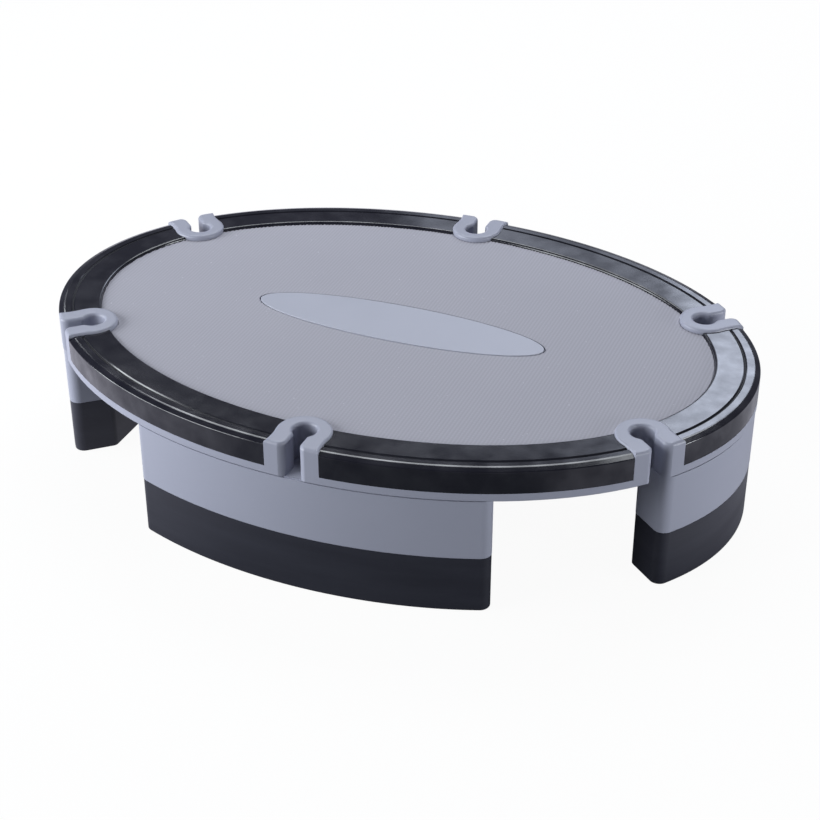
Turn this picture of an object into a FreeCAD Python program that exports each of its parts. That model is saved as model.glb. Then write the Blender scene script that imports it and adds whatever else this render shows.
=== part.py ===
import FreeCAD, Part
import math
import os
from FreeCAD import Rotation, Vector

# Oval aerobic step: a grey ribbed deck with six keyhole cleats, a mat with an inlaid plate,
# black rim strips, and four hollow legs that each take a pull-off riser.
# Origin on the floor under the middle, X along the oval, Y across it, Z up, millimetres.

# Overall sizes
deck_length = 700.0
deck_width = 495.0
step_height = 150.0
riser_height = 57.0

# Rim, lip and mat
rim_height = 24.0
rim_width = 42.3
rim_stand = 5.4
rim_band = 3.4
rim_wall = 3.0
shoulder_drop = 2.0
shoulder_width = 6.0
shoulder_edge_radius = 1.2
rim_crest_radius = 6.0
rim_inner_radius = 2.6
groove_inset = 12.4
groove_width = 3.6
groove_floor = 0.6
groove_depth = 1.5
lip_height = 8.0
lip_chamfer = 0.8
mat_thick = 2.8
mat_gap = 0.5
fit_gap = 0.3

# Nameplate
plate_length = 295.0
plate_width = 70.0
plate_radius = 0.6
plate_proud = 0.3
plate_gap = 1.5

# Deck moulding
deck_plate = 3.5
deck_wall = 3.0
deck_shoulder_radius = 4.0
rib_thick = 2.5
rib_clear = 7.5
rib_pitch_x = 62.0
rib_pitch_y = 58.0
ring_rib_inset = 46.0

# Keyhole cleats, measured inwards from the oval along its normal
slot_angles = [32.0, 90.0, 148.0, 212.0, 270.0, 328.0]
cleat_rise = 2.5
cleat_head_radius = 25.6
cleat_head_inset = 28.0
cleat_neck_draw = 1.1
cleat_neck_radius = 60.0
cleat_edge_radius = 3.0
cleat_wall = 3.2
cleat_roof = 4.0
hole_radius = 11.0
hole_inset = 30.0
throat_half = 6.5
throat_blend_radius = 6.0
mouth_radius = 8.0

# Legs and risers
leg_inset = 0.8
leg_wall = 3.2
leg_roof = 3.0
leg_foot_radius = 0.8
seam_gap = 0.8
seam_depth = 2.0
end_leg_depth = 80.0
side_leg_depth = 71.5
side_leg_half_angle = 30.0
end_leg_slot_gap = 7.0
leg_corner_radius = 10.0
leg_inner_radius = 7.0
core_radius = 1.0
riser_step = 0.2
riser_floor = 4.0
riser_wall = 3.0
riser_shoulder = 4.0
riser_foot_radius = 1.2
spigot_height = 20.0
spigot_gap = 0.4
spigot_wall = 2.8
spigot_lead = 1.2
web_thick = 2.5
web_drop = 5.0
side_leg_webs = (-16.0, 0.0, 16.0)
end_leg_webs = (-14.0, 0.0, 14.0)

# Foot pads, bosses and screws
pad_radius = 11.0
pad_thick = 2.6
pad_proud = 0.6
pad_gap = 0.2
pad_chamfer = 0.4
leg_boss_radius = 4.5
leg_screw_inset = 18.0
side_leg_screws = (-22.0, -10.0, 10.0, 22.0)
end_leg_screws = (-20.0, -7.0, 7.0, 20.0)
screw_radius = 1.9
screw_gap = 0.15
screw_head_radius = 4.2
screw_head_height = 2.8
screw_head_slope = 0.45
boss_cap = 5.5
rim_boss_radius = 3.6
rim_boss_length = 14.0
rim_socket_wall = 2.6
rim_boss_shares = (0.24, 0.5, 0.76)
rim_screw_short = 2.0
rim_screw_head_radius = 5.5
rim_screw_head_height = 2.2

# Levels above the floor
semi_x = deck_length / 2
semi_y = deck_width / 2
rim_foot = step_height - rim_height
lip_foot = rim_foot - lip_height
plate_top = step_height - rim_stand
plate_foot = plate_top - deck_plate
mat_top = plate_top + mat_thick
rim_hollow_top = step_height - rim_band
cleat_top = step_height + cleat_rise
rib_foot = lip_foot + rib_clear
leg_roof_foot = lip_foot - leg_roof
riser_floor_top = pad_proud + riser_floor
shoulder_foot = riser_height - riser_shoulder
spigot_top = riser_height + spigot_height
web_foot = spigot_top + web_drop
socket_foot = plate_top - rim_boss_length
boss_bore_top = plate_foot - boss_cap
rim_screw_length = rim_boss_length - rim_screw_short
end_leg_inner_x = semi_x - end_leg_depth
side_leg_inner_y = semi_y - side_leg_depth
overlap = 1.0
margin = 1.0
overshoot = 6.0
leg_end_reach = 130.0
on_oval = 0.98
seam_angle = slot_angles[0]


def rim_point(angle):
    t = math.radians(angle)
    return Vector(semi_x * math.cos(t), semi_y * math.sin(t), 0)


def rim_inward(angle):
    t = math.radians(angle)
    return Vector(-math.cos(t) / semi_x, -math.sin(t) / semi_y, 0).normalize()


def rim_spot(angle, inset):
    return rim_point(angle) + rim_inward(angle) * inset


def set_on_rim(shape, angle):
    # A shape drawn with Y inwards and X across goes to its place on the oval.
    inward = rim_inward(angle)
    turn = math.degrees(math.atan2(inward.y, inward.x)) - 90.0
    placed = shape.copy()
    placed.Placement = FreeCAD.Placement(rim_point(angle), Rotation(Vector(0, 0, 1), turn))
    return placed


def oval_face(inset, z):
    # The closing seam lies in the mouth of a slot, where nothing is left of it.
    start = math.radians(seam_angle)
    oval = Part.Ellipse(Vector(0, 0, z), semi_x - inset, semi_y - inset)
    return Part.Face(Part.Wire(oval.toShape(start, start + 2 * math.pi)))


def oval_slab(inset, low, high):
    return oval_face(inset, low).extrude(Vector(0, 0, high - low))


def oval_ring(outer, inner, low, high):
    return oval_slab(outer, low, high).cut(oval_slab(inner, low - margin, high + margin))


def prism(points, low, high):
    corners = [Vector(p.x, p.y, low) for p in points]
    face = Part.Face(Part.makePolygon(corners + corners[:1]))
    return face.extrude(Vector(0, 0, high - low))


def level_edges(shape, z):
    return [e for e in shape.Edges if abs(e.BoundBox.ZMin - z) < 1e-4 and abs(e.BoundBox.ZMax - z) < 1e-4]


def post(spot, radius, low, high):
    return Part.makeCylinder(radius, high - low, Vector(spot.x, spot.y, low))


def outline_prism(face, angle, low, high):
    solid = face.extrude(Vector(0, 0, high - low))
    solid.translate(Vector(0, 0, low))
    holder = set_on_rim(Part.Compound([solid]), angle)
    return holder.Solids[0]


def cleat_face(grow):
    # Round head on a shallow necked stem that runs out past the rim.
    head = cleat_head_radius + grow
    neck = cleat_neck_radius - grow
    neck_x = cleat_head_radius - cleat_neck_draw + cleat_neck_radius
    reach = math.sqrt((cleat_head_radius + cleat_neck_radius) ** 2 - neck_x ** 2)
    neck_y = cleat_head_inset - reach
    share = head / (cleat_head_radius + cleat_neck_radius)
    join = Vector(neck_x * share, cleat_head_inset - reach * share, 0)
    foot = Vector(neck_x - math.sqrt(neck ** 2 - (neck_y + overshoot) ** 2), -overshoot, 0)
    bow_y = (foot.y + join.y) / 2
    bow = Vector(neck_x - math.sqrt(neck ** 2 - (neck_y - bow_y) ** 2), bow_y, 0)
    crown = Vector(0, cleat_head_inset + head, 0)
    left = [Vector(-p.x, p.y, 0) for p in (foot, bow, join)]
    edges = [
        Part.Arc(foot, bow, join).toShape(),
        Part.Arc(join, crown, left[2]).toShape(),
        Part.Arc(left[2], left[1], left[0]).toShape(),
        Part.makeLine(left[0], foot),
    ]
    return Part.Face(Part.Wire(edges))


def keyhole_face(grow):
    # Round hole, straight throat and flared mouth, joined by tangent arcs.
    hole = hole_radius + grow
    throat = throat_half + grow
    blend_x = throat_half + throat_blend_radius
    reach = math.sqrt((hole_radius + throat_blend_radius) ** 2 - blend_x ** 2)
    blend = throat_blend_radius - grow
    blend_y = hole_inset - reach
    share = hole / (hole_radius + throat_blend_radius)
    join = Vector(blend_x * share, hole_inset - reach * share, 0)
    start = Vector(throat, blend_y, 0)
    half_turn = math.atan2(reach, blend_x) / 2
    bow = Vector(blend_x - blend * math.cos(half_turn), blend_y + blend * math.sin(half_turn), 0)
    flare = mouth_radius - grow
    mouth_x = throat_half + mouth_radius
    slope = math.radians(45.0)
    throat_end = Vector(throat, mouth_radius, 0)
    flare_mid = Vector(mouth_x - flare * math.cos(slope), mouth_radius - flare * math.sin(slope), 0)
    flare_end = Vector(mouth_x, mouth_radius - flare, 0)
    corner = Vector(mouth_x, -overshoot, 0)
    right = [corner, flare_end, flare_mid, throat_end, start, bow, join]
    left = [Vector(-p.x, p.y, 0) for p in right]
    crown = Vector(0, hole_inset + hole, 0)
    edges = [
        Part.makeLine(right[0], right[1]),
        Part.Arc(right[1], right[2], right[3]).toShape(),
        Part.makeLine(right[3], right[4]),
        Part.Arc(right[4], right[5], right[6]).toShape(),
        Part.Arc(right[6], crown, left[6]).toShape(),
        Part.Arc(left[6], left[5], left[4]).toShape(),
        Part.makeLine(left[4], left[3]),
        Part.Arc(left[3], left[2], left[1]).toShape(),
        Part.makeLine(left[1], left[0]),
        Part.makeLine(left[0], right[0]),
    ]
    return Part.Face(Part.Wire(edges))


def lip_slab(high):
    # The deck's full outline up to a level, its foot edge broken to leave a seam above the legs.
    slab = oval_slab(0, lip_foot, high)
    return slab.makeChamfer(lip_chamfer, level_edges(slab, lip_foot))


def cleat_solid(angle):
    # The raised keyhole moulding, trimmed to the oval, its top edges rounded.
    solid = outline_prism(cleat_face(0), angle, lip_foot, cleat_top)
    solid = solid.common(lip_slab(cleat_top + margin))
    keyhole = outline_prism(keyhole_face(0), angle, lip_foot - margin, cleat_top + margin)
    solid = solid.cut(keyhole).Solids[0]
    return solid.makeFillet(cleat_edge_radius, level_edges(solid, cleat_top))


def cleat_core(angle):
    # The hollow moulded up into a cleat from below, round the keyhole's own wall.
    low = lip_foot - margin
    high = cleat_top - cleat_roof
    core = outline_prism(cleat_face(-cleat_wall), angle, low, high)
    core = core.common(oval_slab(cleat_wall, low, high))
    return core.cut(outline_prism(keyhole_face(cleat_wall), angle, low - margin, high + margin))


# Each leg by the angle of its middle and of its ends, and how far an end stands off that angle.
def leg_plan(mid, half, gap, screws, webs):
    return {"mid": mid, "half": half, "gap": gap, "screws": screws, "webs": webs}


slot_half = slot_angles[0]
leg_plans = {
    "front": leg_plan(270.0, side_leg_half_angle, 0.0, side_leg_screws, side_leg_webs),
    "back": leg_plan(90.0, side_leg_half_angle, 0.0, side_leg_screws, side_leg_webs),
    "left": leg_plan(180.0, slot_half, end_leg_slot_gap, end_leg_screws, end_leg_webs),
    "right": leg_plan(0.0, slot_half, end_leg_slot_gap, end_leg_screws, end_leg_webs),
}


def chord_side(name, shrink):
    # Everything on the outer side of the leg's straight inner face.
    far = deck_length
    near_x = end_leg_inner_x + shrink
    near_y = side_leg_inner_y + shrink
    if name == "right":
        corners = [(near_x, -far), (far, -far), (far, far), (near_x, far)]
    elif name == "left":
        corners = [(-near_x, far), (-far, far), (-far, -far), (-near_x, -far)]
    elif name == "front":
        corners = [(-far, -near_y), (-far, -far), (far, -far), (far, -near_y)]
    else:
        corners = [(far, near_y), (far, far), (-far, far), (-far, near_y)]
    return [Vector(x, y, 0) for x, y in corners]


def leg_bar(name, shrink, low, high):
    # A leg's plan, drawn in on every side by shrink, as an upright bar with round corners.
    plan = leg_plans[name]
    ends = []
    for side in (-1, 1):
        angle = plan["mid"] + side * plan["half"]
        inward = rim_inward(angle)
        across = Vector(inward.y, -inward.x, 0) * side
        spot = rim_point(angle) - across * (plan["gap"] + shrink)
        ends.append((spot - inward * leg_end_reach, spot + inward * leg_end_reach))
    sector = prism([ends[0][0], ends[1][0], ends[1][1], ends[0][1]], low, high)
    bar = oval_slab(leg_inset + shrink, low, high).common(sector)
    bar = bar.common(prism(chord_side(name, shrink), low, high)).Solids[0]
    outer = []
    inner = []
    for edge in bar.Edges:
        if edge.BoundBox.ZLength < high - low - margin:
            continue
        mid = edge.BoundBox.Center
        reach = math.hypot(mid.x / (semi_x - leg_inset - shrink), mid.y / (semi_y - leg_inset - shrink))
        if reach > on_oval:
            outer.append(edge)
        else:
            inner.append(edge)
    bar = bar.makeFillet(max(leg_corner_radius - shrink, core_radius), outer)
    inner = [e for e in bar.Edges if any(e.BoundBox.Center.isEqual(i.BoundBox.Center, 0.01) for i in inner)]
    return bar.makeFillet(max(leg_inner_radius - shrink, core_radius), inner)


def webs(name, shrink, low, high):
    # Cross webs along the oval's normal, from the outer wall to the inner face.
    plates = []
    for offset in leg_plans[name]["webs"]:
        angle = leg_plans[name]["mid"] + offset
        inward = rim_inward(angle)
        half = Vector(inward.y, -inward.x, 0) * (web_thick / 2)
        outside = rim_point(angle)
        inside = rim_spot(angle, end_leg_depth + side_leg_depth)
        plates.append(prism([outside - half, outside + half, inside + half, inside - half], low, high))
    return leg_bar(name, shrink, low, high).common(plates).Solids


def screw(spot, seat, length, head_radius, head_height):
    # A plain screw that points up, its head below the seat.
    head = post(spot, head_radius, seat - head_height, seat)
    head = head.makeChamfer(head_height * screw_head_slope, level_edges(head, seat - head_height))
    return head.fuse(post(spot, screw_radius, seat, seat + length)).removeSplitter()


def leg_screw_spots(name):
    plan = leg_plans[name]
    return [rim_spot(plan["mid"] + offset, leg_screw_inset) for offset in plan["screws"]]


def pad_spots(name):
    # Pads stand under the webs, midway between the outer wall and the inner face.
    plan = leg_plans[name]
    spots = []
    for offset in plan["webs"]:
        angle = plan["mid"] + offset
        outer = rim_spot(angle, leg_inset)
        inward = rim_inward(angle)
        if name in ("left", "right"):
            depth = (abs(outer.x) - end_leg_inner_x) / abs(inward.x)
        else:
            depth = (abs(outer.y) - side_leg_inner_y) / abs(inward.y)
        spots.append(outer + inward * (depth / 2))
    return spots


# Rim strips lie between neighbouring cleats; the bosses share out each strip's length.
rim_names = ["rim_back_right", "rim_back_left", "rim_left", "rim_front_left", "rim_front_right", "rim_right"]
rim_boss_inset = (groove_inset + groove_width + rim_width) / 2


def rim_boss_spots(index):
    start = slot_angles[index]
    finish = slot_angles[(index + 1) % len(slot_angles)]
    span = (finish - start) % 360.0
    return [rim_spot(start + span * share, rim_boss_inset) for share in rim_boss_shares]


def rim_ring():
    # The whole black rim before it is parted by the cleats: a channel with a deep outer skirt and a
    # short inner one that stands on the deck, a sloped shoulder, and a V groove along the top.
    ring = oval_ring(0, rim_width, rim_foot, step_height).cut(rim_slope())
    ring = ring.makeFillet(shoulder_edge_radius, level_edges(ring, step_height - shoulder_drop))
    outer_top = max(level_edges(ring, step_height), key=lambda e: e.Length)
    ring = ring.makeFillet(rim_crest_radius, [outer_top])
    inner_top = min(level_edges(ring, step_height), key=lambda e: e.Length)
    ring = ring.makeFillet(rim_inner_radius, [inner_top])
    core = oval_slab(rim_wall, rim_foot - margin, plate_top)
    core = core.makeFillet(deck_shoulder_radius, level_edges(core, plate_top))
    hollow_outer = rim_wall + deck_shoulder_radius
    hollow = oval_ring(hollow_outer, rim_width - rim_wall, plate_top - margin, rim_hollow_top)
    return ring.cut([rim_groove(), core, hollow])


def oval_cone(top_inset, foot_inset, low, high):
    wires = [oval_face(foot_inset, low).OuterWire, oval_face(top_inset, high).OuterWire]
    return Part.makeLoft(wires, True, True)


def rim_slope():
    # What the shoulder takes off the rim's upright outer corner, run past it above and outside.
    spill = shoulder_width / shoulder_drop * margin
    low = step_height - shoulder_drop - margin
    high = step_height + margin
    return oval_slab(-2 * spill, low, high).cut(oval_cone(shoulder_width + spill, -spill, low, high))


def rim_groove():
    # Its sides keep their slope above the rim's top, so that they cut clean through it.
    slope = (groove_width - groove_floor) / 2 / groove_depth
    side = slope * (groove_depth + margin)
    spill = slope * margin
    low = step_height - groove_depth
    outer = oval_cone(groove_inset - spill, groove_inset - spill + side, low, step_height + margin)
    far = groove_inset + groove_width + spill
    return outer.cut(oval_cone(far, far - side, low, step_height + margin))


def strip_face(x_half, y_half, x, y):
    corners = [(-x_half, -y_half), (x_half, -y_half), (x_half, y_half), (-x_half, y_half)]
    points = [Vector(x + dx, y + dy, rib_foot) for dx, dy in corners]
    return Part.Face(Part.makePolygon(points + points[:1]))


def rib_lattice():
    # Crossing ribs inside one oval rib, drawn flat with their pockets and raised in one go.
    field = oval_face(ring_rib_inset + rib_thick, rib_foot)
    count_x = int((semi_x - ring_rib_inset) // rib_pitch_x)
    count_y = int((semi_y - ring_rib_inset) // rib_pitch_y)
    half = rib_thick / 2
    strips = [strip_face(half, semi_y, step * rib_pitch_x, 0) for step in range(-count_x, count_x + 1)]
    strips += [strip_face(semi_x, half, 0, step * rib_pitch_y) for step in range(-count_y, count_y + 1)]
    pockets = field.cut(strips).Faces
    lattice = oval_face(ring_rib_inset, rib_foot).cut(pockets)
    return lattice.extrude(Vector(0, 0, plate_foot - rib_foot))


def build_deck():
    core = oval_slab(rim_wall + fit_gap, lip_foot, plate_top)
    core = core.makeFillet(deck_shoulder_radius, level_edges(core, plate_top))
    lip = lip_slab(rim_foot)
    shell_inset = rim_wall + fit_gap + deck_wall
    shell = core.fuse(lip).cut(oval_slab(shell_inset, lip_foot - margin, plate_foot))
    posts = [rib_lattice()]
    holes = []
    for name in leg_plans:
        for spot in leg_screw_spots(name):
            posts.append(post(spot, leg_boss_radius, lip_foot, plate_foot))
            holes.append(post(spot, screw_radius + screw_gap, lip_foot - margin, boss_bore_top))
    for index in range(len(rim_names)):
        for spot in rim_boss_spots(index):
            bore = rim_boss_radius + fit_gap
            posts.append(post(spot, bore + rim_socket_wall, socket_foot, plate_foot))
            holes.append(post(spot, bore, socket_foot - margin, plate_top + margin))
    solid = shell.multiFuse(posts + [cleat_solid(angle) for angle in slot_angles])
    cuts = [cleat_core(angle) for angle in slot_angles]
    slot_high = cleat_top - cleat_edge_radius
    cuts += [outline_prism(keyhole_face(0), angle, lip_foot - margin, slot_high) for angle in slot_angles]
    return solid.cut(cuts + holes).removeSplitter().Solids[0]


def build_rims():
    ring = rim_ring()
    reach = (rim_foot - margin, step_height + margin)
    gaps = [outline_prism(cleat_face(fit_gap), angle, *reach) for angle in slot_angles]
    strips = [(solid.CenterOfMass, solid) for solid in ring.cut(gaps).Solids]
    parts = {}
    for index, name in enumerate(rim_names):
        spots = rim_boss_spots(index)
        middle = Vector(spots[1].x, spots[1].y, plate_top)
        strip = min(strips, key=lambda pair: pair[0].distanceToPoint(middle))[1]
        boss_foot = socket_foot + fit_gap
        bore_top = boss_foot + rim_screw_length
        bosses = [post(spot, rim_boss_radius, boss_foot, rim_hollow_top) for spot in spots]
        bores = [post(spot, screw_radius + screw_gap, socket_foot, bore_top) for spot in spots]
        parts[name] = strip.fuse(bosses).cut(bores).removeSplitter().Solids[0]
    return parts


def build_mat():
    mat = oval_slab(rim_width + mat_gap, plate_top, mat_top)
    reach = (plate_top - margin, mat_top + margin)
    window = plate_slab(plate_gap, *reach)
    heads = [outline_prism(cleat_face(mat_gap), angle, *reach) for angle in slot_angles]
    return mat.cut([window] + heads).Solids[0]


def plate_slab(grow, low, high):
    oval = Part.Ellipse(Vector(0, 0, low), plate_length / 2 + grow, plate_width / 2 + grow)
    return Part.Face(Part.Wire(oval.toShape())).extrude(Vector(0, 0, high - low))


def build_nameplate():
    high = mat_top + plate_proud
    plate = plate_slab(0, plate_top, high)
    return plate.makeFillet(plate_radius, level_edges(plate, high)).Solids[0]


def build_leg(name):
    # Only a set-back land on the roof meets the deck, so a shadow line runs under the lip.
    leg = leg_bar(name, 0, riser_height, lip_foot - seam_gap)
    outline = level_edges(leg, riser_height)
    leg = leg.makeFillet(leg_foot_radius, outline)
    leg = leg.fuse(leg_bar(name, seam_depth, leg_roof_foot, lip_foot))
    leg = leg.cut(leg_bar(name, leg_wall, riser_height - margin, leg_roof_foot))
    cross = webs(name, leg_wall / 2, web_foot, leg_roof_foot + overlap)
    reach = (leg_roof_foot - margin, lip_foot + margin)
    holes = [post(spot, screw_radius + fit_gap, *reach) for spot in leg_screw_spots(name)]
    return leg.fuse(cross).cut(holes).removeSplitter().Solids[0]


def build_riser(name):
    riser = leg_bar(name, riser_step, pad_proud, riser_height)
    riser = riser.makeFillet(riser_foot_radius, level_edges(riser, pad_proud))
    spigot_in = leg_wall + spigot_gap
    spigot = leg_bar(name, spigot_in, riser_height - overlap, spigot_top)
    spigot = spigot.makeChamfer(spigot_lead, level_edges(spigot, spigot_top))
    wall_in = riser_step + riser_wall
    neck = leg_bar(name, spigot_in + spigot_wall, shoulder_foot - margin, spigot_top + margin)
    cup = leg_bar(name, wall_in, riser_floor_top, shoulder_foot)
    riser = riser.fuse(spigot).cut([neck, cup])
    cross = webs(name, wall_in - overlap, riser_floor_top - overlap, riser_height - web_drop)
    wells = [post(spot, pad_radius + pad_gap, 0, pad_thick) for spot in pad_spots(name)]
    return riser.fuse(cross).cut(wells).removeSplitter().Solids[0]


def build_pads(name):
    pads = []
    for spot in pad_spots(name):
        pad = post(spot, pad_radius, 0, pad_thick)
        pads.append(pad.makeChamfer(pad_chamfer, level_edges(pad, 0)))
    return Part.Compound(pads)


parts = {"deck": build_deck(), "mat": build_mat(), "nameplate": build_nameplate()}
parts.update(build_rims())
leg_screws = []
rim_screws = []
for leg_name in leg_plans:
    parts["leg_" + leg_name] = build_leg(leg_name)
    parts["riser_" + leg_name] = build_riser(leg_name)
    parts["foot_pads_" + leg_name] = build_pads(leg_name)
    for place in leg_screw_spots(leg_name):
        shank = boss_bore_top - leg_roof_foot - overlap
        leg_screws.append(screw(place, leg_roof_foot, shank, screw_head_radius, screw_head_height))
for strip_index in range(len(rim_names)):
    for place in rim_boss_spots(strip_index):
        head = (rim_screw_head_radius, rim_screw_head_height)
        rim_screws.append(screw(place, socket_foot, rim_screw_length, *head))
parts["leg_screws"] = Part.Compound(leg_screws)
parts["rim_screws"] = Part.Compound(rim_screws)

os.makedirs("parts", exist_ok=True)
for node, shape in parts.items():
    print(node, shape.ShapeType, len(shape.Solids), round(shape.Volume), shape.isValid())
    shape.exportStep("parts/" + node + ".step")
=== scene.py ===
import bpy
import math
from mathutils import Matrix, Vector


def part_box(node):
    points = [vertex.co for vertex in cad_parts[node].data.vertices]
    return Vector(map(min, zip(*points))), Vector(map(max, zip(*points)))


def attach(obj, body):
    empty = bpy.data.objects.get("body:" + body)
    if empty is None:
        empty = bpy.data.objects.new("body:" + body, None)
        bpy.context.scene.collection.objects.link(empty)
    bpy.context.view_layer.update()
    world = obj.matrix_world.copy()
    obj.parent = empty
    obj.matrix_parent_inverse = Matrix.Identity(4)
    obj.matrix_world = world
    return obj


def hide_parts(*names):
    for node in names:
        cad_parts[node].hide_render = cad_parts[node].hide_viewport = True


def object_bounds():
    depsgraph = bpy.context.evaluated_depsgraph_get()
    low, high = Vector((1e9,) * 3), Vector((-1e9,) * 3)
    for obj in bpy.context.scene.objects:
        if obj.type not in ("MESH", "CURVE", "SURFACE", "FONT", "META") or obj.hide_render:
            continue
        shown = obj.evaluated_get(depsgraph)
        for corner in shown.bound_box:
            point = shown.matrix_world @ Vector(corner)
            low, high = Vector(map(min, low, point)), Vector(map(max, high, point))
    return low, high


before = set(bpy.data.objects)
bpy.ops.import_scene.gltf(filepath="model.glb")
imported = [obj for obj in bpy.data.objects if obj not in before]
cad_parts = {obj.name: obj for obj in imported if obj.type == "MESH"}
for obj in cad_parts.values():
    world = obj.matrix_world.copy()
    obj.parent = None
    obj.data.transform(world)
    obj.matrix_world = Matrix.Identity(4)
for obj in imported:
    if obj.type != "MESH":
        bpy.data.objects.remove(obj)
cad_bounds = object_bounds()


# Deck: one large injection moulding in grey plastic, with the lip round its edge and six keyhole
# cleats standing proud of the rim. Its skin is a fine spark-eroded satin, its underside ribbed.
class Finish:
    """A value on a surface: an output socket whose arithmetic adds Math nodes to its material."""

    def __init__(self, tree, socket=None):
        self.tree = tree
        self.socket = socket

    def node(self, kind, settings, sockets, output=0):
        made = self.tree.nodes.new(kind)
        for name, value in settings.items():
            if name == "stops":
                ramp = made.color_ramp
                while len(ramp.elements) < len(value):
                    ramp.elements.new(1.0)
                for stop, (place, colour) in zip(ramp.elements, value):
                    stop.position = place
                    stop.color = colour
            else:
                setattr(made, name, value)
        for name, value in sockets.items():
            if isinstance(value, Finish):
                self.tree.links.new(value.socket, made.inputs[name])
            else:
                made.inputs[name].default_value = value
        return Finish(self.tree, None if output is None else made.outputs[output])

    def math(self, operation, first, second):
        return self.node("ShaderNodeMath", {"operation": operation}, {0: first, 1: second})

    def __add__(self, other):
        return self.math("ADD", self, other)

    def __radd__(self, other):
        return self.math("ADD", other, self)

    def __sub__(self, other):
        return self.math("SUBTRACT", self, other)

    def __rsub__(self, other):
        return self.math("SUBTRACT", other, self)

    def __mul__(self, other):
        return self.math("MULTIPLY", self, other)

    def __rmul__(self, other):
        return self.math("MULTIPLY", other, self)


def new_finish(name):
    material = bpy.data.materials.new(name)
    material.use_nodes = True
    shader = material.node_tree.nodes["Principled BSDF"]
    finish = Finish(material.node_tree)
    place = finish.node("ShaderNodeTexCoord", {}, {}, "Object")
    return material, shader, finish, place


def grain(finish, place, scale, detail, stretch=(1.0, 1.0, 1.0)):
    """Cloudy noise from 0 to 1 whose patches measure about 1 / scale metres."""
    spread = finish.node("ShaderNodeMapping", {}, {"Vector": place, "Scale": stretch})
    sockets = {"Vector": spread, "Scale": scale, "Detail": detail}
    return finish.node("ShaderNodeTexNoise", {}, sockets, "Fac")


def tint(finish, amount, dark, light):
    sockets = {"Factor": amount, 6: dark, 7: light}
    return finish.node("ShaderNodeMix", {"data_type": "RGBA"}, sockets, 2)


def connect(finish, shader, **sockets):
    for name, value in sockets.items():
        finish.tree.links.new(value.socket, shader.inputs[name.replace("_", " ")])


def bump(finish, height, strength, distance):
    sockets = {"Height": height, "Strength": strength, "Distance": distance}
    return finish.node("ShaderNodeBump", {}, sockets)


def grey_moulding():
    material, shader, finish, place = new_finish("grey_moulding")
    cloud = grain(finish, place, 9.0, 3.0)
    eroded = grain(finish, place, 1900.0, 2.0)
    flow = grain(finish, place, 14.0, 2.0, (1.0, 1.0, 5.0))
    colour = tint(finish, cloud, (0.330, 0.340, 0.417, 1.0), (0.362, 0.370, 0.447, 1.0))
    connect(finish, shader, Base_Color=colour, Roughness=0.32 + 0.10 * flow + 0.08 * eroded,
            Normal=bump(finish, eroded + 0.4 * flow, 0.22, 0.00012))
    shader.inputs["Specular IOR Level"].default_value = 0.50
    return material


def paint(node, material):
    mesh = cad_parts[node].data
    mesh.materials.clear()
    mesh.materials.append(material)


grey = grey_moulding()
paint("deck", grey)


# Mat: a pale grey rubber sheet glued into the top, its whole face moulded in fine ribs that run
# across the deck and are notched into pips. The die cuts straight through them at the edge.
def alone(piece):
    bpy.ops.object.select_all(action="DESELECT")
    piece.select_set(True)
    bpy.context.view_layer.objects.active = piece


merge_reach = 1e-6


def shaped_copy(node, name):
    """A merged copy of a CAD node, free to be cut and shaped."""
    alone(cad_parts[node])
    bpy.ops.object.duplicate()
    piece = bpy.context.active_object
    piece.name = name
    piece.parent = None
    for key in list(piece.keys()):
        del piece[key]
    bpy.ops.object.mode_set(mode="EDIT")
    bpy.ops.mesh.select_all(action="SELECT")
    bpy.ops.mesh.remove_doubles(threshold=merge_reach)
    bpy.ops.object.mode_set(mode="OBJECT")
    bpy.ops.mesh.customdata_custom_splitnormals_clear()
    return piece


def select_verts(piece, test):
    bpy.ops.object.mode_set(mode="EDIT")
    bpy.ops.mesh.select_mode(type="VERT")
    bpy.ops.mesh.select_all(action="DESELECT")
    bpy.ops.object.mode_set(mode="OBJECT")
    for vertex in piece.data.vertices:
        vertex.select = test(vertex.co)
    bpy.ops.object.mode_set(mode="EDIT")


def combine(piece, tool, operation):
    cut = piece.modifiers.new("cut", "BOOLEAN")
    cut.operation = operation
    cut.solver = "MANIFOLD"
    cut.object = tool
    alone(piece)
    bpy.ops.object.modifier_apply(modifier="cut")
    bpy.data.objects.remove(tool)


mat_low, mat_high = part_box("mat")
pip_pitch = 0.0034
pip_height = 0.0007
notch_depth = 0.0003
pip_proud = 0.0002
pip_foot = mat_high.z + pip_proud - pip_height
pip_crease = math.radians(50)
face_slack = 1e-5
half_pitch = pip_pitch / 2
columns = 2 * math.ceil((mat_high.x - mat_low.x) / pip_pitch) + 2
rows = 2 * math.ceil((mat_high.y - mat_low.y) / pip_pitch) + 2

bpy.ops.object.select_all(action="DESELECT")
bpy.ops.mesh.primitive_grid_add(x_subdivisions=columns, y_subdivisions=rows, size=1.0,
                                location=(0.0, 0.0, pip_foot))
mat = bpy.context.active_object
mat.name = "mat_pips"
bpy.ops.object.mode_set(mode="EDIT")
bpy.ops.mesh.select_all(action="SELECT")
bpy.ops.transform.resize(value=(columns * half_pitch, rows * half_pitch, 1.0))
bpy.ops.object.mode_set(mode="OBJECT")
bpy.ops.object.transform_apply(location=True, rotation=True, scale=True)


def on_rib(co):
    return round(co.x / half_pitch + columns / 2) % 2 == 1


def in_notch(co):
    return on_rib(co) and round(co.y / half_pitch + rows / 2) % 2 == 0


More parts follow.
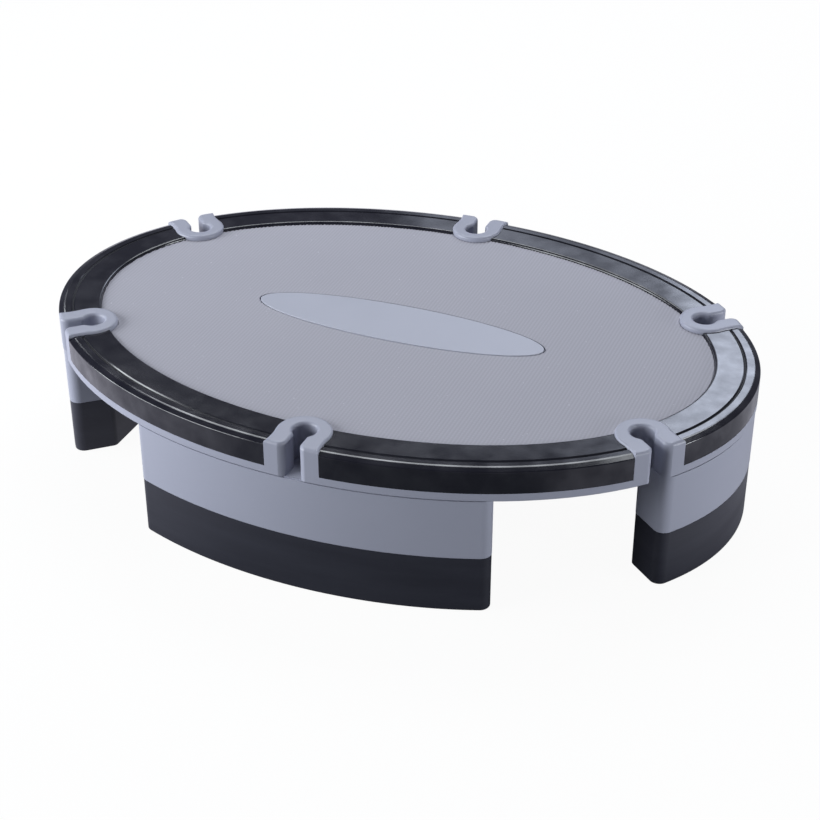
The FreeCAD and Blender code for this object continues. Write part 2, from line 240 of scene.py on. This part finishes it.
select_verts(mat, on_rib)
bpy.ops.transform.translate(value=(0.0, 0.0, pip_height))
bpy.ops.object.mode_set(mode="OBJECT")
select_verts(mat, in_notch)
bpy.ops.transform.translate(value=(0.0, 0.0, -notch_depth))
bpy.ops.mesh.select_all(action="DESELECT")
bpy.ops.mesh.select_mode(type="EDGE")
bpy.ops.mesh.select_non_manifold()
bpy.ops.mesh.extrude_edges_move(TRANSFORM_OT_translate={"value": (0.0, 0.0, mat_low.z - pip_foot)})
bpy.ops.mesh.edge_face_add()
bpy.ops.mesh.select_all(action="SELECT")
bpy.ops.mesh.normals_make_consistent(inside=False)
bpy.ops.object.mode_set(mode="OBJECT")

die = shaped_copy("mat", "mat_die")
select_verts(die, lambda co: co.z > mat_high.z - face_slack)
bpy.ops.transform.translate(value=(0.0, 0.0, 2 * pip_height))
bpy.ops.mesh.select_all(action="INVERT")
bpy.ops.transform.translate(value=(0.0, 0.0, -2 * pip_height))
bpy.ops.object.mode_set(mode="OBJECT")
combine(mat, die, "INTERSECT")
bpy.ops.object.shade_smooth_by_angle(angle=pip_crease)


def measure(finish, place, axis):
    return finish.node("ShaderNodeSeparateXYZ", {}, {"Vector": place}, axis)


def fade(finish, value, start, end):
    """Rises from 0 to 1 while a value goes from start to end."""
    sockets = {"Value": value, "From Min": start, "From Max": end}
    return finish.node("ShaderNodeMapRange", {}, sockets)


def pipped_rubber():
    material, shader, finish, place = new_finish("pipped_rubber")
    cloud = grain(finish, place, 7.0, 4.0)
    tooth = grain(finish, place, 2600.0, 2.0)
    risen = fade(finish, measure(finish, place, "Z"), pip_foot, pip_foot + pip_height)
    body = tint(finish, cloud, (0.424, 0.415, 0.468, 1.0), (0.458, 0.448, 0.503, 1.0))
    # Painted shade: the colour darkens towards the foot of the ribs, so the valleys between the pips
    # read as shaded.
    valley_shaded = tint(finish, 0.70 + 0.30 * risen, (0.20, 0.20, 0.235, 1.0), body)
    # Pale flecks dotted at random over the mat colour.
    speck = fade(finish, grain(finish, place, 420.0, 1.0), 0.76, 0.80)
    flecked = tint(finish, speck, valley_shaded, (0.62, 0.62, 0.66, 1.0))
    connect(finish, shader, Base_Color=flecked, Roughness=0.62 + 0.14 * tooth - 0.06 * risen,
            Normal=bump(finish, tooth, 0.25, 0.0001))
    shader.inputs["Specular IOR Level"].default_value = 0.35
    return material


mat.data.materials.clear()
mat.data.materials.append(pipped_rubber())
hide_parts("mat")
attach(mat, "platform")


# Nameplate: a smooth pale plastic oval with a plain face, let into the mat and glued down.
# Its satin skin has the faint haze of a polished tool.
def pale_plate():
    material, shader, finish, place = new_finish("pale_plate")
    haze = grain(finish, place, 26.0, 4.0)
    fine = grain(finish, place, 1400.0, 2.0)
    colour = tint(finish, haze, (0.440, 0.451, 0.526, 1.0), (0.461, 0.472, 0.550, 1.0))
    connect(finish, shader, Base_Color=colour, Roughness=0.26 + 0.10 * haze,
            Normal=bump(finish, fine, 0.08, 0.0001))
    return material


paint("nameplate", pale_plate())


# Rim strips: black plastic mouldings between the cleats, each screwed on from below. They are
# polished, with the slow waviness of a large moulding, fine handling marks and a dull groove.
groove_inset = 0.0142
groove_half_length = cad_bounds[1][0] - groove_inset
groove_half_width = cad_bounds[1][1] - groove_inset


def polished_black():
    material, shader, finish, place = new_finish("polished_black")
    wave = grain(finish, place, 38.0, 1.0)
    smear = grain(finish, place, 11.0, 4.0)
    handled = grain(finish, place, 46.0, 5.0)
    fine = grain(finish, place, 900.0, 2.0)
    along = measure(finish, place, "X") * (1 / groove_half_length)
    across = measure(finish, place, "Y") * (1 / groove_half_width)
    off_line = along * along + across * across - 1.0
    in_groove = fade(finish, off_line * off_line, 0.000050, 0.000020)
    haze = 0.55 * smear + 0.45 * handled
    colour = tint(finish, haze, (0.0035, 0.0036, 0.0085, 1.0), (0.0100, 0.0103, 0.0170, 1.0))
    wiped = fade(finish, haze, 0.42, 0.60)
    connect(finish, shader, Base_Color=colour, Coat_Weight=0.75 * wiped * (1.0 - in_groove),
            Roughness=0.03 + 0.10 * smear + 0.12 * handled + 0.03 * fine + 0.45 * in_groove,
            Normal=bump(finish, wave + 0.006 * fine, 0.06, 0.0006))
    shader.inputs["Specular IOR Level"].default_value = 0.44
    shader.inputs["Coat Roughness"].default_value = 0.14
    return material


black_gloss = polished_black()
rim_nodes = [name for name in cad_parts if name.startswith("rim_") and name != "rim_screws"]
for strip in rim_nodes:
    paint(strip, black_gloss)


# Legs: four hollow grey mouldings in the deck's own plastic, open below. Each is screwed up under
# the lip, on a set-back land that leaves a thin shadow line.
leg_names = [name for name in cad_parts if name.startswith("leg_") and name != "leg_screws"]
for leg in leg_names:
    paint(leg, grey)


# Risers: black cups that plug up into the legs. Their satin skin shows pale streaks where the
# plastic flowed along the mould, and the sole edge is rounded.
def satin_black():
    material, shader, finish, place = new_finish("satin_black")
    streak = grain(finish, place, 17.0, 3.0, (0.35, 0.35, 3.2))
    eroded = grain(finish, place, 1500.0, 2.0)
    stops = [(0.38, (0, 0, 0, 1)), (0.72, (1, 1, 1, 1))]
    band = finish.node("ShaderNodeValToRGB", {"stops": stops}, {"Fac": streak})
    flow = finish.node("ShaderNodeRGBToBW", {}, {"Color": band})
    colour = tint(finish, flow, (0.0165, 0.0170, 0.0265, 1.0), (0.0265, 0.0275, 0.0390, 1.0))
    connect(finish, shader, Base_Color=colour, Roughness=0.40 - 0.07 * flow + 0.10 * eroded,
            Normal=bump(finish, eroded + 0.5 * streak, 0.2, 0.00012))
    shader.inputs["Specular IOR Level"].default_value = 0.50
    return material


black_satin = satin_black()
riser_names = [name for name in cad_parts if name.startswith("riser_")]
for riser in riser_names:
    paint(riser, black_satin)


# Foot pads: round rubber pads glued into wells in each riser's sole, with ring grooves for grip.
# One is modelled and copied to each well.
def islands(node):
    """The boxes of the separate solids of a CAD node, from its copy parted at its loose pieces."""
    shaped_copy(node, node + "_parting")
    bpy.ops.mesh.separate(type="LOOSE")
    found = []
    for part in list(bpy.context.selected_objects):
        corners = [part.matrix_world @ Vector(corner) for corner in part.bound_box]
        low = Vector([min(c[k] for c in corners) for k in range(3)])
        high = Vector([max(c[k] for c in corners) for k in range(3)])
        found.append((low, high))
        bpy.data.objects.remove(part)
    return sorted(found, key=lambda pair: tuple(pair[0]))


level_enough = 0.9


def select_level_faces(piece, down, test):
    """Selects the faces that point down or up and pass a test."""
    bpy.ops.mesh.select_mode(type="FACE")
    bpy.ops.mesh.select_all(action="DESELECT")
    bpy.ops.object.mode_set(mode="OBJECT")
    for face in piece.data.polygons:
        lean = -face.normal.z if down else face.normal.z
        face.select = lean > level_enough and test(face)
    bpy.ops.object.mode_set(mode="EDIT")


def copies(master, places, name):
    """Copies a piece to each place, joins the copies and leaves them at the origin."""
    made = []
    for place in places:
        alone(master)
        bpy.ops.object.duplicate()
        bpy.ops.transform.translate(value=place)
        made.append(bpy.context.active_object)
    bpy.ops.object.select_all(action="DESELECT")
    for piece in made:
        piece.select_set(True)
    bpy.context.view_layer.objects.active = made[0]
    bpy.ops.object.join()
    joined = bpy.context.active_object
    joined.name = name
    bpy.ops.object.transform_apply(location=True, rotation=True, scale=True)
    return joined


def grip_rubber():
    material, shader, finish, place = new_finish("grip_rubber")
    dust = grain(finish, place, 60.0, 4.0)
    tooth = grain(finish, place, 2200.0, 2.0)
    colour = tint(finish, dust, (0.016, 0.016, 0.017, 1.0), (0.028, 0.028, 0.030, 1.0))
    connect(finish, shader, Base_Color=colour, Roughness=0.72 + 0.16 * tooth,
            Normal=bump(finish, tooth, 0.3, 0.0001))
    return material


pad_wells = {name: islands(name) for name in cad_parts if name.startswith("foot_pads_")}
pad_low, pad_high = pad_wells["foot_pads_front"][0]
pad_radius = (pad_high.x - pad_low.x) / 2
pad_thick = pad_high.z - pad_low.z
pad_edge = 0.0006
pad_rings = 3
ring_land = 0.0021
ring_gap = 0.0010
ring_lean = 0.0001
ring_depth = 0.0007
turned_crease = math.radians(35)

bpy.ops.object.select_all(action="DESELECT")
bpy.ops.mesh.primitive_cylinder_add(vertices=48, radius=pad_radius, depth=pad_thick,
                                    location=(0.0, 0.0, 0.0))
pad = bpy.context.active_object
pad.name = "pad_master"
bpy.ops.object.mode_set(mode="EDIT")
select_level_faces(pad, True, lambda face: True)
bpy.ops.mesh.bevel(offset=pad_edge, segments=3, affect="EDGES")
select_level_faces(pad, True, lambda face: face.area > pad_radius ** 2)
for ring in range(pad_rings):
    for width, rise in ((ring_land, ring_depth), (ring_gap, -ring_depth)):
        bpy.ops.mesh.inset(thickness=width)
        bpy.ops.mesh.inset(thickness=ring_lean)
        bpy.ops.transform.translate(value=(0.0, 0.0, rise))
bpy.ops.object.mode_set(mode="OBJECT")
bpy.ops.object.shade_smooth_by_angle(angle=turned_crease)

rubber = grip_rubber()
for node, wells in pad_wells.items():
    middles = [(low + high) / 2 for low, high in wells]
    pads = copies(pad, middles, node + "_grooved")
    pads.data.materials.append(rubber)
    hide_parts(node)
    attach(pads, "riser_" + node.split("_")[-1])
bpy.data.objects.remove(pad)


# Screws: zinc-plated steel. The rim's washer-head screws show from below, so they get their flange,
# dome and cross recess; the leg screws stay shut inside the legs.
def zinc_plate():
    material, shader, finish, place = new_finish("zinc_plate")
    turned = grain(finish, place, 500.0, 3.0)
    stain = grain(finish, place, 130.0, 3.0)
    colour = tint(finish, stain, (0.50, 0.51, 0.53, 1.0), (0.62, 0.63, 0.65, 1.0))
    connect(finish, shader, Base_Color=colour, Roughness=0.28 + 0.14 * turned,
            Normal=bump(finish, turned, 0.1, 0.0001))
    shader.inputs["Metallic"].default_value = 1.0
    return material


zinc = zinc_plate()
paint("leg_screws", zinc)

screw_boxes = islands("rim_screws")
screw_low, screw_high = screw_boxes[0]
flange_radius = (screw_high.x - screw_low.x) / 2
screw_length = screw_high.z - screw_low.z
head_height = 0.0022
flange_thick = 0.0008
dome_radius = 0.0036
dome_steps = ((0.45, 0.97), (0.35, 0.88), (0.20, 0.70))
shank_radius = 0.0019
point_length = 0.002
point_share = 0.4
recess_long = 0.0040
recess_wide = 0.0009
recess_deep = 0.0011

bpy.ops.object.select_all(action="DESELECT")
bpy.ops.mesh.primitive_cylinder_add(vertices=40, radius=flange_radius, depth=flange_thick,
                                    location=(0.0, 0.0, 0.0))
screw = bpy.context.active_object
screw.name = "screw_master"
bpy.ops.object.transform_apply(location=True, rotation=True, scale=True)
bpy.ops.object.mode_set(mode="EDIT")
select_level_faces(screw, True, lambda face: True)
bpy.ops.mesh.inset(thickness=flange_radius - dome_radius)
dome_drop = head_height - flange_thick
for share, scale in dome_steps:
    bpy.ops.mesh.extrude_region_move(TRANSFORM_OT_translate={"value": (0.0, 0.0, -share * dome_drop)})
    bpy.ops.transform.resize(value=(scale, scale, 1.0))
select_level_faces(screw, False, lambda face: True)
bpy.ops.mesh.inset(thickness=flange_radius - shank_radius)
shank_length = screw_length - head_height - point_length
for length in (shank_length, point_length):
    bpy.ops.mesh.extrude_region_move(TRANSFORM_OT_translate={"value": (0.0, 0.0, length)})
bpy.ops.transform.resize(value=(point_share, point_share, 1.0))
bpy.ops.object.mode_set(mode="OBJECT")
head_foot = -flange_thick / 2 - dome_drop
for turn in (0.0, math.pi / 2):
    bpy.ops.object.select_all(action="DESELECT")
    bpy.ops.mesh.primitive_cube_add(size=1.0, location=(0.0, 0.0, head_foot), rotation=(0.0, 0.0, turn))
    blade = bpy.context.active_object
    bpy.ops.transform.resize(value=(recess_long, recess_wide, 2 * recess_deep), orient_type="LOCAL")
    bpy.ops.object.transform_apply(location=True, rotation=True, scale=True)
    combine(screw, blade, "DIFFERENCE")
bpy.ops.object.shade_smooth_by_angle(angle=turned_crease)

heads = []
for low, high in screw_boxes:
    middle = (low + high) / 2
    heads.append((middle.x, middle.y, low.z - head_foot))
rim_screws = copies(screw, heads, "rim_screws_recessed")
bpy.data.objects.remove(screw)
rim_screws.data.materials.append(zinc)
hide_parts("rim_screws")
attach(rim_screws, "platform")


# Studio: a white sweep under a large soft box at the left and a small one at the right. A
# strip overhead draws the thin line along the rim's crest, the rim's right end mirrors a box behind,
# and two small ones give the faint shine at the back and the left. In reflections the sweep glows
# far brighter at its left and right than in front: a painted reflection on the rim's sides.
sweep_width = 24.0
seen_white = 0.95
mirrored_least = 0.02
painted_glow_left = 0.96
painted_glow_right = 0.48


def white_sweep():
    material = bpy.data.materials.new("white_sweep")
    material.use_nodes = True
    tree = material.node_tree
    tree.nodes.clear()
    finish = Finish(tree)
    seen = finish.node("ShaderNodeLightPath", {}, {}, "Is Camera Ray")
    mirrored = finish.node("ShaderNodeLightPath", {}, {}, "Is Glossy Ray")
    through = finish.node("ShaderNodeLightPath", {}, {}, "Is Transmission Ray")
    place = finish.node("ShaderNodeTexCoord", {}, {}, "Object")
    across = measure(finish, place, "X")
    painted_glow_left_fade = fade(finish, across, -0.08, -0.46)
    painted_glow_right_fade = fade(finish, across, 0.31, 0.42)
    shade = tint(finish, seen, (0.22, 0.225, 0.232, 1.0), (0.94, 0.94, 0.94, 1.0))
    paper = finish.node("ShaderNodeBsdfDiffuse", {}, {"Color": shade})
    white = tint(finish, seen, (0.87, 0.865, 1.0, 1.0), (1.0, 1.0, 1.0, 1.0))
    glow = finish.node("ShaderNodeEmission", {}, {"Color": white, "Strength": 1.0})
    # Painted reflection: to glossy rays the sweep glows strongly beyond its left and right edges and
    # hardly at all in front.
    mirror_glow_painted_sides = mirrored_least + painted_glow_left * painted_glow_left_fade + painted_glow_right * painted_glow_right_fade
    share = seen_white * seen + mirror_glow_painted_sides * mirrored + mirrored_least * through
    mixed = finish.node("ShaderNodeMixShader", {}, {0: share, 1: paper, 2: glow})
    finish.node("ShaderNodeOutputMaterial", {}, {"Surface": mixed}, None)
    return material


bpy.ops.object.select_all(action="DESELECT")
bpy.ops.mesh.primitive_plane_add(size=sweep_width, location=(0.0, 0.0, 0.0))
floor = bpy.context.active_object
floor.name = "floor"
floor.data.materials.append(white_sweep())

world = bpy.data.worlds.new("studio")
world.use_nodes = True
bpy.context.scene.world = world
sky = Finish(world.node_tree)
looked_at = sky.node("ShaderNodeLightPath", {}, {}, "Is Camera Ray")
in_gloss = sky.node("ShaderNodeLightPath", {}, {}, "Is Glossy Ray")
room = tint(sky, in_gloss, (0.058, 0.060, 0.066, 1.0), (0.160, 0.165, 0.200, 1.0))
sky_colour = tint(sky, looked_at, room, (1.0, 1.0, 1.0, 1.0))
world.node_tree.links.new(sky_colour.socket, world.node_tree.nodes["Background"].inputs["Color"])

daylight = (0.91, 0.955, 1.0)
cool_white = (0.76, 0.83, 1.0)
soft_boxes = {
    "left": {"place": (-1.95, -1.28, 0.75), "aim": (0.0, 0.0, 0.10), "wide": 2.2, "tall": 1.5,
             "watts": 85.0, "tone": daylight},
    "right": {"place": (2.20, -0.30, 0.35), "aim": (0.0, 0.0, 0.10), "wide": 0.9, "tall": 0.6,
              "watts": 27.0, "tone": daylight},
    "top": {"place": (-0.45, 1.22, 1.98), "aim": (-0.45, 0.0, 0.15), "wide": 2.2, "tall": 0.85,
            "watts": 31.0, "tone": daylight},
    "behind": {"place": (0.11, 2.40, 1.62), "aim": (0.11, 0.0, 0.10), "wide": 0.78, "tall": 1.1,
               "watts": 12.3, "tone": cool_white},
    "left_back": {"place": (-1.87, 1.50, 1.37), "aim": (-0.3, -0.1, 0.15), "wide": 0.22, "tall": 0.22,
                  "watts": 1.5, "tone": daylight},
    "behind_left": {"place": (-0.62, 2.40, 1.42), "aim": (-0.62, 0.0, 0.10), "wide": 0.7, "tall": 0.6,
                    "watts": 1.3, "tone": cool_white},
}
for name, box in soft_boxes.items():
    place = Vector(box["place"])
    bpy.ops.object.light_add(type="AREA", location=place)
    lamp = bpy.context.active_object
    lamp.name = "soft_box_" + name
    lamp.rotation_euler = (place - Vector(box["aim"])).to_track_quat("Z", "Y").to_euler()
    lamp.data.shape = "RECTANGLE"
    lamp.data.size = box["wide"]
    lamp.data.size_y = box["tall"]
    lamp.data.energy = box["watts"]
    lamp.data.color = box["tone"]


# Camera: level, a little above and to the right of the front, as in the photograph. Its place and
# its tilt come from a fit to the oval of the rim and the edges of the legs.
camera_place = (0.5749, -1.4017, 0.9720)
camera_tilt = 90.0 - 31.357
camera_turn = 21.895

bpy.ops.object.camera_add(location=camera_place)
camera = bpy.context.active_object
camera.rotation_euler = (math.radians(camera_tilt), 0.0, math.radians(camera_turn))
camera.data.sensor_width = 36.0
camera.data.lens = 78.0
bpy.context.scene.camera = camera
bpy.context.scene.view_settings.view_transform = "Standard"
